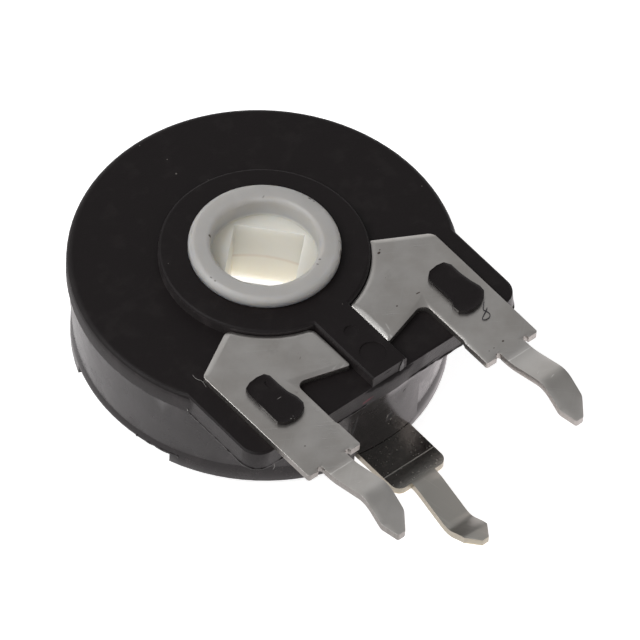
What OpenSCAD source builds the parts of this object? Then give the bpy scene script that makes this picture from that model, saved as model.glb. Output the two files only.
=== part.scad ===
// Trimmer potentiometer with a see-through rotor and snap-in pins.
// Origin: on the rotor axis, in the plane of the end terminals' outer faces.
// +Z points out of the rear of the housing, the pins point towards -Y.

/* [Terminals] */
// Distance between the centres of the two end pins
pin_pitch = 10; // [9.8:0.05:10.4]
// Width of a solder pin
pin_w = 1.3; // [1:0.05:1.5]
// Thickness of the sheet that all three terminals are cut from
sheet_t = 0.35; // [0.25:0.05:0.4]
// Width of a terminal above its pin
stem_w = 2.85; // [2.5:0.05:2.9]
// Distance from the rotor axis to the seating shoulders
seat_y = 10.65; // [10:0.05:12]
// Distance from the rotor axis to the tips of the pins
tip_y = 15.1; // [14.8:0.1:17]
// How far the kink of a pin stands out of the plane of its terminal
kink_h = 0.6; // [0.3:0.05:0.8]
// Width of the blunt end of a pin
tip_w = 0.35; // [0.2:0.05:0.6]
// Length of the pointed part of a pin
tip_len = 0.65; // [0.4:0.05:0.9]
// Depth from the end terminals to the outer face of the collector's tab
tab_depth = 4.68; // [4.4:0.02:4.8]
// Angle of the end plate's radial edge, below the X axis
plate_angle = 29.5; // [24:0.5:34]
// Distance from the rotor axis to the outer end of that edge
plate_reach = 7.44; // [7.2:0.02:7.6]
// Distance from the rotor axis to the tip of the plate's wing
wing_y = 7.05; // [6.8:0.05:7.4]
// Distance from the rotor axis to the root of the wing, at the stem
wing_root_y = 6.33; // [6.2:0.01:6.5]
// Width of the contact prong that goes through the floor
prong_w = 1.1; // [0.8:0.05:1.3]
// Distance from the rotor axis to the middle of the contact prong
prong_y = 5.8; // [5.6:0.05:6]
// Length of the foot that is bent over on the element
foot_len = 1.6; // [1.2:0.05:1.8]

/* [Housing] */
// Diameter of the housing at its rear edge
body_d = 17.1; // [16.9:0.05:17.6]
// Diameter of the wall where it meets the rim of the open end
wall_foot_d = 16.38; // [16.2:0.02:16.5]
// Height of the cup, from its rear face to the end of its rim
body_h = 4.6; // [4.4:0.05:5.2]
// Radius of the rear edge
edge_r = 0.3; // [0.2:0.05:0.7]
// Thickness of the floor and of the front block
floor_t = 0.9; // [0.8:0.05:1.1]
// Diameter of the cavity
cavity_d = 14.2; // [14.1:0.05:14.5]
// Diameter of the rim around the open end and of its feet
rim_d = 16.55; // [16.55:0.05:17]
// Height of the rim
rim_h = 0.25; // [0.15:0.05:0.4]
// Height of the feet
feet_h = 0.5; // [0.4:0.05:0.8]
// Half of the angle left open between two feet
feet_gap = 22; // [15:0.5:30]
// Width of the front block that carries the end terminals
block_w = 15.1; // [14.4:0.1:15.4]
// Distance from the rotor axis to the front of that block
block_y = 8.45; // [8.3:0.05:8.8]
// Corner radius of the front block
block_r = 0.9; // [0.5:0.1:1.4]
// Diameter of the raised ring around the rotor
ring_d = 9.2; // [8.8:0.05:9.2]
// Height of the raised ring and its spoke
ring_h = 0.55; // [0.45:0.05:0.7]
// Width of the spoke between the end terminals
spoke_w = 1.9; // [1.6:0.05:1.95]
// Diameter of the bearing hole for the rotor
bearing_d = 6; // [5.8:0.05:6.1]
// Width of the pillar in front of the collector's leg
pillar_w = 3.9; // [3.7:0.05:4.4]
// Radius of the pillar's round front
pillar_r = 8.45; // [8.4:0.05:8.8]
// Width of the head of a staking post
stake_w = 1.45; // [1.3:0.05:1.6]
// Length of the head of a staking post
stake_len = 2.85; // [2.6:0.05:3]
// Height of the head of a staking post
stake_h = 0.25; // [0.15:0.05:0.4]
// Distance from the rotor axis to the middle of a staking post
stake_y = 6.62; // [6.5:0.02:6.7]
// Diameter of the larger ejector mark on the spoke
mark_d = 1.2; // [0.8:0.1:1.4]

/* [Rotor] */
// Angle that the rotor is set to, from the middle of its travel
rotor_set = -4; // [-100:1:100]
// Whole mechanical travel of the rotor in degrees
travel = 265; // [240:1:280]
// Diameter of the head that snaps over the raised ring
head_d = 6.64; // [6.5:0.02:7]
// Height of the head above the raised ring
head_h = 0.55; // [0.45:0.05:0.7]
// Diameter of the round bore
bore_d = 4.7; // [4.5:0.05:4.8]
// Depth of the round bore below the top of the head
bore_depth = 1.05; // [0.9:0.05:1.3]
// Width of the square hole
square_w = 3.1; // [2.8:0.05:3.2]
// Diameter of the round recess at the front
recess_d = 6; // [5.2:0.1:6.4]
// Depth of that recess
recess_depth = 1.1; // [0.8:0.05:1.15]
// Thickness of the rotor's disc
disc_t = 1.2; // [1.15:0.05:1.4]
// Width of the screwdriver slot across the front
slot_w = 1.2; // [0.8:0.1:1.6]
// Length of the screwdriver slot
slot_len = 10; // [8:0.1:11]
// Depth of the screwdriver slot
slot_depth = 0.7; // [0.4:0.05:0.9]

/* [Inside] */
// Thickness of the element's base
element_t = 0.8; // [0.7:0.05:0.9]
// Thickness of the printed layers
print_t = 0.05; // [0.03:0.01:0.08]
// Inner diameter of the carbon track
track_in_d = 10.4; // [10.2:0.1:10.8]
// Outer diameter of the carbon track
track_out_d = 13.2; // [12.6:0.1:13.4]
// Electrical angle, from one end pad to the other
electrical_angle = 250; // [230:1:256]
// Inner diameter of the collector ring
collector_in_d = 7.8; // [7.7:0.05:7.9]
// Outer diameter of the collector ring
collector_out_d = 9.4; // [9.2:0.05:9.5]
// Thickness of the wiper's spring sheet
spring_t = 0.2; // [0.15:0.01:0.25]
// Width of a wiper finger
finger_w = 0.6; // [0.4:0.05:0.7]

/* [Hidden] */
$fn = 96;

// Clearances
run_gap = 0.05;      // between the rotor and what it turns in
seat_gap = 0.05;     // between a fixed piece and its pocket
disc_gap = 0.12;     // between the rim of the disc and the cavity
contact_gap = 0.03;  // under a wiper contact
eps = 0.01;          // overlap of a cut with the face that it leaves
weld = 0.2;          // overlap of two shapes of one moulding
past = 1;            // reach of a cut past what it leaves

// Levels, from the rear to the open end
rear_z = -sheet_t;
ring_z = rear_z + ring_h;
head_z = ring_z + head_h;
floor_z = rear_z - floor_t;
element_z = floor_z - element_t;
print_z = element_z - print_t;
wall_z = rear_z - body_h;
feet_z = wall_z - feet_h;
disc_z = wall_z + disc_t;
tab_z = -tab_depth;

// Radii
body_r = body_d / 2;
cavity_r = cavity_d / 2;
bearing_r = bearing_d / 2;
guide_r = collector_in_d / 2 - seat_gap * 2;
ledge_r = collector_out_d / 2 + seat_gap;
disc_r = cavity_r - disc_gap;
neck_r = bearing_r - run_gap;
hub_r = guide_r - weld;

// Stop: a lug on the cavity wall opposite the pins, and a tooth on the rim of the disc
lug_len = 0.7;
lug_half = 8;
stop_play = 0.5;
flange_t = disc_t * 0.4;
tooth_half = 180 - travel / 2 - lug_half - stop_play;
rebate_r = cavity_r - lug_len - run_gap * 2;
flange_z = wall_z + flange_t;

// Front block and staking posts
block_draft = 0.07;  // from its lower to its upper edge
stake_lap = 0.2;     // of a post's head over the edge of its hole
small_mark_d = 0.66; // ejector mark nearer to the ring
mark_pitch = 1.45;   // between the two ejector marks

// End terminals
stem_x = pin_pitch / 2;
plate_in_x = spoke_w / 2 + seat_gap * 2;
plate_arc_r = ring_d / 2 + seat_gap;
plate_corner = 0.15;
wing_fillet = 0.5;
relief = 0.1;
foot_z = print_z - sheet_t;
pin_root = 1;        // of a pin's strip inside its terminal
pin_spare = 0.3;     // of the strip past the tip, cut off by its outline

// Collector: ring, arm, leg behind the pillar and tab
collector_z = element_z;
arm_w = 1.4;
leg_y = cavity_r + seat_gap * 2;
leg_half = stem_w / 2;
channel_half = leg_half + seat_gap;
channel_y = leg_y + sheet_t + seat_gap;
arm_gap = arm_w / 2 + seat_gap * 4;

// Wiper
finger_span = 40;
base_span = 30;
peg_r = 0.35;
peg_h = 0.45;
inner_r = (collector_in_d + collector_out_d) / 4;
outer_r = (track_in_d + track_out_d) / 4;

// Points of an arc about (cx, cy)
function arc(cx, cy, r, a0, a1, n = 8) =
    [for (i = [0:n]) let (a = a0 + (a1 - a0) * i / n) [cx + r * cos(a), cy + r * sin(a)]];

// A strip of sheet that follows a path: the path and its offset to the right
function right_of(p, q) = let (d = q - p) [d[1], -d[0]] / norm(d);
function beside(path, t) = [
    for (i = [0:len(path) - 1])
        let (a = right_of(path[max(i - 1, 0)], path[max(i, 1)]),
             b = i == len(path) - 1 ? a : right_of(path[i], path[i + 1]))
        path[i] + t * (a + b) / (1 + a * b)];
function strip(path, t) = let (far = beside(path, t), n = len(path))
    concat(path, [for (i = [1:n]) far[n - i]]);

// A path with its inner corners rounded from half of one stretch to half of the next, at most reach long
function lead(p, q, reach) = p + (q - p) * min(0.5, reach / norm(q - p));
function rounded(path, reach, n = 4) = let (last = len(path) - 1)
    concat([path[0]],
           [for (i = [1:last - 1], k = [0:n])
               let (a = lead(path[i], path[i - 1], reach), b = lead(path[i], path[i + 1], reach), t = k / n)
               (1 - t) * (1 - t) * a + 2 * t * (1 - t) * path[i] + t * t * b],
           [path[last]]);

// A profile in (distance towards the pins, height), as wide as w along X
module along_pins(w) {
    rotate([90, 0, -90])
        linear_extrude(w, center = true)
            children();
}

// A part of a turned ring, centred on an angle
module sector(middle, half, r_in, r_out, z_low, z_high) {
    rotate([0, 0, middle - half])
        rotate_extrude(angle = 2 * half)
            translate([r_in, z_low])
                square([r_out - r_in, z_high - z_low]);
}

// A rectangle with round corners, built from squares and circles
module round_rect(w, l, r) {
    square([w - 2 * r, l], center = true);
    square([w, l - 2 * r], center = true);
    for (x = [-1, 1], y = [-1, 1])
        translate([x * (w / 2 - r), y * (l / 2 - r)])
            circle(r);
}

// Cup with its raised ring, bearing guide, collector ledge, rim and feet, turned in one profile
module cup() {
    ring_edge = 0.15;
    parting_step = 0.05;
    flare_h = 0.1;
    ledge_z = collector_z + sheet_t;
    ring_r = ring_d / 2;
    rotate_extrude()
        polygon(concat(
            [[bearing_r, ring_z]],
            arc(ring_r - ring_edge, ring_z - ring_edge, ring_edge, 90, 0, 4),
            [[ring_r, rear_z]],
            arc(body_r - edge_r, rear_z - edge_r, edge_r, 90, 0),
            [[body_r, floor_z],
             [body_r - parting_step, floor_z],
             [wall_foot_d / 2, wall_z + rim_h + flare_h],
             [rim_d / 2, wall_z + rim_h - flare_h],
             [rim_d / 2, feet_z],
             [cavity_r, feet_z],
             [cavity_r, floor_z],
             [ledge_r, floor_z],
             [ledge_r, ledge_z],
             [guide_r, ledge_z],
             [guide_r, collector_z],
             [bearing_r, collector_z]]));
}

// Gaps that leave two runs of feet around the open end
module foot_gaps() {
    for (middle = [0, 180])
        sector(middle, feet_gap, cavity_r - past, rim_d / 2 + past, feet_z - past, wall_z);
}

// Front block: drafted, with broken upper edges, as thick as the floor
module front_block() {
    broken = 0.08;
    back_y = 3;
    layer_h = 0.02;
    hull() {
        for (l = [[floor_z, 0], [rear_z - broken, block_draft],
              [rear_z - layer_h, block_draft + broken]])
            translate([0, -(block_y - l[1] + back_y) / 2, l[0]])
                linear_extrude(layer_h)
                    offset(r = block_r, $fn = 32)
                        square([block_w - 2 * l[1] - 2 * block_r,
                                block_y - l[1] - back_y - 2 * block_r], center = true);
    }
}

// Spoke between the end terminals, level with the raised ring
module spoke() {
    broken = 0.08;
    front_y = block_y - block_draft;
    back_y = ring_d / 2 - weld * 2;
    translate([0, -front_y, 0])
        rotate([90, 0, 180])
            linear_extrude(front_y - back_y)
                polygon([[-spoke_w / 2, rear_z - weld], [spoke_w / 2, rear_z - weld],
                         [spoke_w / 2, ring_z - broken], [spoke_w / 2 - broken, ring_z],
                         [-spoke_w / 2 + broken, ring_z], [-spoke_w / 2, ring_z - broken]]);
}

// Pillar that covers the collector's leg, from the front block down to the tab
module pillar() {
    low_z = tab_z + contact_gap;
    difference() {
        intersection() {
            translate([0, 0, low_z])
                cylinder(r = pillar_r, h = floor_z + weld - low_z);
            translate([-pillar_w / 2, -pillar_r - past, low_z])
                cube([pillar_w, pillar_r + past, floor_z + weld - low_z]);
        }
        translate([0, 0, low_z - past])
            cylinder(r = cavity_r, h = body_h + 2 * past);
    }
}

// Cross-section of a staking post, smaller than its hole by a gap all round
module stake_neck(gap) {
    inset = 2 * (stake_lap + gap);
    round_rect(stake_w - inset, stake_len - inset, (stake_w - inset) / 3);
}

// Staking post through an end terminal, with its formed head
module stake(side) {
    head_corner = 0.55;
    translate([side * stem_x, -stake_y, 0]) {
        translate([0, 0, rear_z - weld])
            linear_extrude(-rear_z + weld + eps)
                stake_neck(seat_gap);
        linear_extrude(stake_h)
            round_rect(stake_w, stake_len, head_corner);
    }
}

module housing() {
    mark_depth = 0.05;
    color([0.13, 0.12, 0.12])
        difference() {
            union() {
                difference() {
                    cup();
                    foot_gaps();
                }
                difference() {
                    front_block();
                    translate([0, 0, floor_z - past])
                        cylinder(r = ring_d / 2 - weld, h = floor_t + 2 * past);
                }
                spoke();
                pillar();
                sector(90, lug_half, cavity_r - lug_len, cavity_r + weld,
                       flange_z + run_gap, disc_z - run_gap);
                // rib that carries the collector's arm
                translate([-arm_w / 2, -cavity_r - weld, collector_z + sheet_t])
                    cube([arm_w, cavity_r + weld - ledge_r + weld, floor_z + weld - collector_z - sheet_t]);
                for (side = [-1, 1])
                    stake(side);
            }
            // channel of the leg, and the way out of the tab
            translate([-channel_half, -channel_y, feet_z - past])
                cube([2 * channel_half, channel_y - leg_y + seat_gap * 4, floor_z - feet_z + past]);
            translate([-channel_half, -body_d, feet_z - past])
                cube([2 * channel_half, body_d - leg_y + seat_gap * 4, tab_z + contact_gap - feet_z + past]);
            // slots of the contact prongs
            for (side = [-1, 1])
                translate([side * (plate_in_x + sheet_t / 2), -prong_y, floor_z])
                    cube([sheet_t + seat_gap, prong_w + seat_gap * 2, 4 * floor_t], center = true);
            // ejector marks
            translate([0, -block_y + mark_d, ring_z - mark_depth])
                cylinder(d = mark_d, h = past);
            translate([0, -block_y + mark_d + mark_pitch, ring_z - mark_depth])
                cylinder(d = small_mark_d, h = past);
        }
}

module rotor() {
    head_edge = 0.28;
    mouth_edge = 0.25;
    thrust_z = collector_z - run_gap;
    head_r = head_d / 2;
    bore_z = head_z - bore_depth;
    rear_core = 1.85;
    core_step = 0.06;
    parting_z = bore_z - rear_core;
    arch_h = 0.5;
    arch_spread = 2.4;
    axis_r = 1;
    color([0.93, 0.92, 0.88])
        rotate([0, 0, rotor_set])
            difference() {
                union() {
                    rotate_extrude()
                        polygon(concat(
                            [[axis_r, wall_z], [disc_r, wall_z], [disc_r, disc_z],
                             [hub_r, disc_z], [hub_r, thrust_z],
                             [neck_r, thrust_z], [neck_r, ring_z + run_gap],
                             [head_r, ring_z + run_gap]],
                            arc(head_r - head_edge, head_z - head_edge, head_edge, 0, 90),
                            arc(bore_d / 2 + mouth_edge, head_z - mouth_edge, mouth_edge, 90, 180),
                            [[bore_d / 2, bore_z], [axis_r, bore_z]]));
                    // pegs that hold the wiper
                    wiper_pegs(peg_r);
                }
                // rebate around the rim: what it leaves is the tooth that meets the stop lug
                sector(90, 180 - tooth_half, rebate_r, disc_r + past, flange_z, disc_z + past);
                // square hole from the rear, and a trace wider from the front, where it starts in an arch on each flat
                square_hole(square_w, wall_z - past, bore_z + past);
                intersection() {
                    square_hole(square_w + core_step, wall_z - past, parting_z);
                    translate([0, 0, parting_z - arch_h])
                        cylinder(r1 = square_w / 2 + arch_h * arch_spread, r2 = square_w / 2, h = arch_h);
                }
                square_hole(square_w + core_step, wall_z - past, parting_z - arch_h);
                translate([0, 0, wall_z - past])
                    cylinder(d = recess_d, h = recess_depth + past);
                driver_slot();
            }
}

// Square prism on the rotor's axis, with its corners on the X and Y axes
module square_hole(w, low_z, high_z) {
    translate([0, 0, low_z])
        rotate([0, 0, 45])
            linear_extrude(high_z - low_z)
                square(w, center = true);
}

// Screwdriver slot with an arrow head that shows the wiper's direction
module driver_slot() {
    arrow_w = 2.6;
    arrow_len = 1.8;
    arrow_y = (slot_len + slot_w) / 2;
    translate([0, 0, wall_z - past])
        linear_extrude(slot_depth + past) {
            square([slot_w, slot_len], center = true);
            polygon([[0, arrow_y],
                     [-arrow_w / 2, arrow_y - arrow_len], [arrow_w / 2, arrow_y - arrow_len]]);
        }
}

module wiper_pegs(r) {
    for (at_r = [inner_r + weld, outer_r - weld])
        rotate([0, 0, 90 + finger_span + base_span / 2])
            translate([at_r, 0, disc_z - weld])
                cylinder(r = r, h = peg_h + weld, $fn = 32);
}

// Spring finger: rises along a chord from the base to its rounded contact
module finger(r, contact_z) {
    chord = 2 * r * sin(finger_span / 2);
    foot = disc_z + spring_t;
    rise = contact_z - contact_gap;
    lap = 0.6;
    root = 0.2;
    flat_half = 0.15;
    toe = 0.5;
    heel_drop = 0.12;
    toe_drop = 0.25;
    rotate([0, 0, 90 + finger_span / 2])
        translate([r * cos(finger_span / 2), chord / 2, 0])
            along_pins(finger_w)
                polygon(strip([[-lap, foot], [root, foot], [chord - toe, rise - heel_drop],
                               [chord - flat_half, rise], [chord + flat_half, rise],
                               [chord + toe, rise - toe_drop]], spring_t));
}

module wiper_contact() {
    color([0.72, 0.5, 0.3])
        rotate([0, 0, rotor_set]) {
            difference() {
                sector(90 + finger_span + base_span / 2, base_span / 2,
                       inner_r - finger_w / 2, outer_r + finger_w / 2, disc_z, disc_z + spring_t);
                wiper_pegs(peg_r + contact_gap);
            }
            finger(inner_r, collector_z);
            finger(outer_r, print_z);
        }
}

module element_base() {
    color([0.45, 0.28, 0.14])
        difference() {
            translate([0, 0, element_z])
                cylinder(r = cavity_r - seat_gap * 2, h = element_t);
            translate([0, 0, element_z - past])
                cylinder(r = ledge_r + seat_gap, h = element_t + 2 * past);
            translate([-arm_gap, -cavity_d, element_z - past])
                cube([2 * arm_gap, cavity_d, element_t + 2 * past]);
            translate([-plate_in_x - sheet_t - seat_gap, -prong_y - prong_w / 2 - seat_gap, element_z - past])
                cube([2 * (plate_in_x + sheet_t + seat_gap), prong_w + 2 * seat_gap, element_t + 2 * past]);
        }
}

module carbon_track() {
    color([0.1, 0.1, 0.11])
        sector(90, electrical_angle / 2, track_in_d / 2, track_out_d / 2, print_z, element_z);
}

// Silver pads between the ends of the track and the gap in the base
module end_pads() {
    bare_half = 18;
    pad_half = (180 - electrical_angle / 2 - bare_half) / 2;
    color([0.75, 0.75, 0.76])
        for (side = [-1, 1])
            sector(-90 + side * (bare_half + pad_half), pad_half, track_in_d / 2, track_out_d / 2, print_z, element_z);
}

// Snap-in pin: a kinked strip with a pointed end
module pin(path) {
    intersection() {
        along_pins(pin_w)
            polygon(strip(path, sheet_t));
        translate([0, 0, -body_d])
            linear_extrude(2 * body_d)
                polygon([[-pin_w / 2, 0], [pin_w / 2, 0],
                         [pin_w / 2, -tip_y + tip_len], [tip_w / 2, -tip_y],
                         [-tip_w / 2, -tip_y], [-pin_w / 2, -tip_y + tip_len]]);
    }
}

// Outline of the right-hand end plate with its stem
module plate_outline() {
    radial = [cos(plate_angle), -sin(plate_angle)];
    stem_in = stem_x - stem_w / 2;
    stem_out = stem_x + stem_w / 2;
    inside_r = plate_arc_r / 2;
    difference() {
        offset(r = -wing_fillet) offset(delta = wing_fillet)
            offset(r = plate_corner) offset(delta = -plate_corner)
                difference() {
                    polygon([radial * inside_r, radial * plate_reach, [stem_out, -seat_y],
                             [stem_in, -seat_y], [stem_in, -wing_root_y],
                             [plate_in_x, -wing_y], [plate_in_x, -inside_r]]);
                    circle(plate_arc_r);
                }
        // reliefs at both sides of the pin
        for (side = [-1, 1])
            translate([stem_x + side * (pin_w / 2 + relief / 2), -seat_y])
                square([relief, relief * 2], center = true);
    }
}

module right_terminal() {
    crease_y = seat_y + 0.6;
    path = rounded([[seat_y - pin_root, 0], [crease_y, 0], [tip_y - 1.75, kink_h * 1.08],
                    [tip_y - 0.6, -kink_h * 0.15], [tip_y + pin_spare, -kink_h * 1.3]], 0.45);
    prong_top = sheet_t * 0.4;
    color([0.62, 0.61, 0.6]) {
        translate([0, 0, rear_z])
            linear_extrude(sheet_t)
                difference() {
                    plate_outline();
                    translate([stem_x, -stake_y])
                        stake_neck(0);
                }
        translate([stem_x, 0, 0])
            pin(path);
        // prong through the floor, with its foot bent over on the end pad
        translate([plate_in_x, -prong_y - prong_w / 2, foot_z])
            cube([sheet_t, prong_w, -foot_z - prong_top]);
        translate([plate_in_x, -prong_y - prong_w / 2, foot_z])
            cube([foot_len, prong_w, sheet_t]);
    }
}

module left_terminal() {
    mirror([1, 0, 0])
        right_terminal();
}

module collector_terminal() {
    corner_r = 0.45;
    tab_end = seat_y + 0.3;
    crease_y = tab_end + 0.3;
    path = rounded([[tab_end - pin_root, tab_z], [crease_y, tab_z], [tip_y - 1.7, tab_z - kink_h * 1.3],
                    [tip_y - 0.75, tab_z - kink_h * 0.5], [tip_y + pin_spare, tab_z - kink_h * 0.25]], 0.3);
    color([0.6, 0.59, 0.55]) {
        // ring and arm
        difference() {
            union() {
                translate([0, 0, collector_z])
                    cylinder(d = collector_out_d, h = sheet_t);
                translate([-arm_w / 2, -leg_y - sheet_t, collector_z])
                    cube([arm_w, leg_y + sheet_t - inner_r, sheet_t]);
            }
            translate([0, 0, collector_z - past])
                cylinder(d = collector_in_d, h = sheet_t + 2 * past);
        }
        // leg behind the pillar
        translate([-leg_half, -leg_y - sheet_t, tab_z - sheet_t])
            cube([stem_w, sheet_t, collector_z + sheet_t - tab_z + sheet_t]);
        // tab with round shoulders
        translate([0, 0, tab_z - sheet_t])
            linear_extrude(sheet_t)
                difference() {
                    translate([-leg_half, -tab_end])
                        square([stem_w, tab_end - leg_y]);
                    for (side = [-1, 1])
                        translate([side * leg_half, -tab_end])
                            difference() {
                                square(2 * corner_r, center = true);
                                translate([-side * corner_r, corner_r])
                                    circle(corner_r);
                            }
                }
        pin(path);
    }
}

housing();
rotor();
wiper_contact();
element_base();
carbon_track();
end_pads();
collector_terminal();
left_terminal();
right_terminal();
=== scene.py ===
"""Trimmer potentiometer with a see-through rotor and snap-in pins: its surfaces, stage and light.

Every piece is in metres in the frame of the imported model. The origin lies on the rotor's axis, in the plane
of the end terminals' outer faces. +Z leaves the rear of the housing, and the pins point towards -Y.
"""
import math
import random

import bmesh
import bpy
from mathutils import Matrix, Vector


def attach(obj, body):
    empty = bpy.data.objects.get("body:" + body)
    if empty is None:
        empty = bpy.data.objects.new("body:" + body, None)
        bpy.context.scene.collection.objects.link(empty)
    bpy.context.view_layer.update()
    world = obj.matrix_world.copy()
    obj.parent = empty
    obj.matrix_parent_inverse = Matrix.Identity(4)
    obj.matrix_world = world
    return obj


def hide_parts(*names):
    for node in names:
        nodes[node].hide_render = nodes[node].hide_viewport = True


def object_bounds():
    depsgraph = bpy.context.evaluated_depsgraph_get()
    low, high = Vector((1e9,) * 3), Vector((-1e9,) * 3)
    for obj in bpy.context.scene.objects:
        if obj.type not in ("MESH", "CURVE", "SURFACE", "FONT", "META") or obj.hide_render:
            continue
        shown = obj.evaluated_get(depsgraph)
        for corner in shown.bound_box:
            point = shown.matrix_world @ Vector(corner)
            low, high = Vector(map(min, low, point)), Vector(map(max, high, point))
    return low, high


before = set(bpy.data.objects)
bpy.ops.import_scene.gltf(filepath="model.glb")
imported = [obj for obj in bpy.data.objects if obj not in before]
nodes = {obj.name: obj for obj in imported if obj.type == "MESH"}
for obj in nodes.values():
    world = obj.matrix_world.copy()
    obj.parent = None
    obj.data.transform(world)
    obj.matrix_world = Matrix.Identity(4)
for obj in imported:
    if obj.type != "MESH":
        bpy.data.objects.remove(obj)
cad_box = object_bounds()
MM = 0.001

# Camera
# A long lens from nearly 0.4 m away, so that the two end terminals stay nearly parallel. It looks down on the
# rear of the housing over the pins, and is tipped a little to its left.
view_from = Vector((-167.79, -183.25, 298.88)) * MM
view_to = Vector((-0.54, -4.38, 0)) * MM
lens_mm = 506.25
sensor_mm = 36
view_tip = math.radians(3.86)

bpy.ops.object.camera_add(location=view_from)
camera = bpy.context.object
camera.name = "view_camera"
camera.data.lens = lens_mm
camera.data.sensor_width = sensor_mm
camera.data.clip_start = 10 * MM
camera.data.clip_end = 10
camera.rotation_euler = (view_to - view_from).to_track_quat("-Z", "Y").to_euler()
camera.rotation_euler.rotate_axis("Z", view_tip)
bpy.context.scene.camera = camera


# Black housing
# One thermoplastic moulding: cup, front block, raised ring and spoke. Its rear face comes from a finely
# eroded mould half and is matt, and its side wall is drawn out of a polished one and is glossy.
def new_material(name, base, roughness, metallic=0.0, ior=1.5):
    """A material with a plain Principled BSDF, and the three nodes that the rest builds on."""
    material = bpy.data.materials.new(name)
    material.use_nodes = True
    tree = material.node_tree
    shader = tree.nodes["Principled BSDF"]
    shader.inputs["Base Color"].default_value = (*base, 1)
    shader.inputs["Roughness"].default_value = roughness
    shader.inputs["Metallic"].default_value = metallic
    shader.inputs["IOR"].default_value = ior
    place = tree.nodes.new("ShaderNodeTexCoord").outputs["Object"]
    return material, tree, shader, place


def new_group(name, inputs, outputs):
    """A shader node group with float inputs, named and with their defaults, after its Vector input."""
    group = bpy.data.node_groups.new(name, "ShaderNodeTree")
    group.interface.new_socket("Vector", in_out="INPUT", socket_type="NodeSocketVector")
    for label, value in inputs.items():
        socket = group.interface.new_socket(label, in_out="INPUT", socket_type="NodeSocketFloat")
        socket.default_value = value
    for label in outputs:
        group.interface.new_socket(label, in_out="OUTPUT", socket_type="NodeSocketFloat")
    return group, group.nodes.new("NodeGroupInput"), group.nodes.new("NodeGroupOutput")


def add_group(tree, group, place, **values):
    """Places a group in a material, reads the given coordinates and sets its inputs."""
    node = tree.nodes.new("ShaderNodeGroup")
    node.node_tree = group
    tree.links.new(place, node.inputs["Vector"])
    for label, value in values.items():
        node.inputs[label.replace("_", " ")].default_value = value
    return node


def add_math(tree, operation, a, b=None, clamp=False):
    """A Math node on sockets or numbers, and its output."""
    node = tree.nodes.new("ShaderNodeMath")
    node.operation = operation
    node.use_clamp = clamp
    for socket, value in zip(node.inputs, (a, b)):
        if hasattr(value, "links"):
            tree.links.new(value, socket)
        elif value is not None:
            socket.default_value = value
    return node.outputs["Value"]


def add_range(tree, value, low, high, to_low=0.0, to_high=1.0):
    """A Map Range node from a socket, smooth at both ends, and its output."""
    node = tree.nodes.new("ShaderNodeMapRange")
    node.interpolation_type = "SMOOTHSTEP"
    tree.links.new(value, node.inputs["Value"])
    for label, number in zip(("From Min", "From Max", "To Min", "To Max"), (low, high, to_low, to_high)):
        node.inputs[label].default_value = number
    return node.outputs["Result"]


def add_noise(tree, place, scale, detail=3.0, roughness=0.55):
    """A noise texture whose scale is given in waves per millimetre, and its factor."""
    node = tree.nodes.new("ShaderNodeTexNoise")
    node.inputs["Detail"].default_value = detail
    node.inputs["Roughness"].default_value = roughness
    if hasattr(scale, "links"):
        tree.links.new(scale, node.inputs["Scale"])
    else:
        node.inputs["Scale"].default_value = scale / MM
    tree.links.new(place, node.inputs["Vector"])
    return node.outputs["Fac"]


def add_bump(tree, shader, height, distance, strength):
    """A Bump node from a height to the shader's normal, with its distance in millimetres."""
    bump = tree.nodes.new("ShaderNodeBump")
    bump.inputs["Strength"].default_value = strength
    bump.inputs["Distance"].default_value = distance * MM
    tree.links.new(height, bump.inputs["Height"])
    tree.links.new(bump.outputs["Normal"], shader.inputs["Normal"])


def add_mix(tree, factor, a, b):
    """A colour mix: two colours or sockets by a factor socket, and its result."""
    node = tree.nodes.new("ShaderNodeMix")
    node.data_type = "RGBA"
    tree.links.new(factor, node.inputs["Factor"])
    for socket, value in ((node.inputs["A"], a), (node.inputs["B"], b)):
        if hasattr(value, "links"):
            tree.links.new(value, socket)
        else:
            socket.default_value = (*value, 1)
    return node.outputs["Result"]


def add_blend(tree, factor, a, b):
    """A mix of two values by a factor socket, and its result."""
    node = tree.nodes.new("ShaderNodeMix")
    tree.links.new(factor, node.inputs["Factor"])
    for socket, value in ((node.inputs["A"], a), (node.inputs["B"], b)):
        tree.links.new(value, socket)
    return node.outputs["Result"]


def split(tree, vector):
    """The X, Y and Z of a vector socket."""
    node = tree.nodes.new("ShaderNodeSeparateXYZ")
    tree.links.new(vector, node.inputs["Vector"])
    return node.outputs


def add_reach(tree, place):
    """The distance of a place from the rotor's axis."""
    flat_place = tree.nodes.new("ShaderNodeVectorMath")
    flat_place.operation = "MULTIPLY"
    flat_place.inputs[1].default_value = (1, 1, 0)
    tree.links.new(place, flat_place.inputs[0])
    reach = tree.nodes.new("ShaderNodeVectorMath")
    reach.operation = "LENGTH"
    tree.links.new(flat_place.outputs["Vector"], reach.inputs[0])
    return reach.outputs["Value"]


def set_material(piece, material):
    """Gives a piece one material in place of those that it has."""
    piece.data.materials.clear()
    piece.data.materials.append(material)


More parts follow.
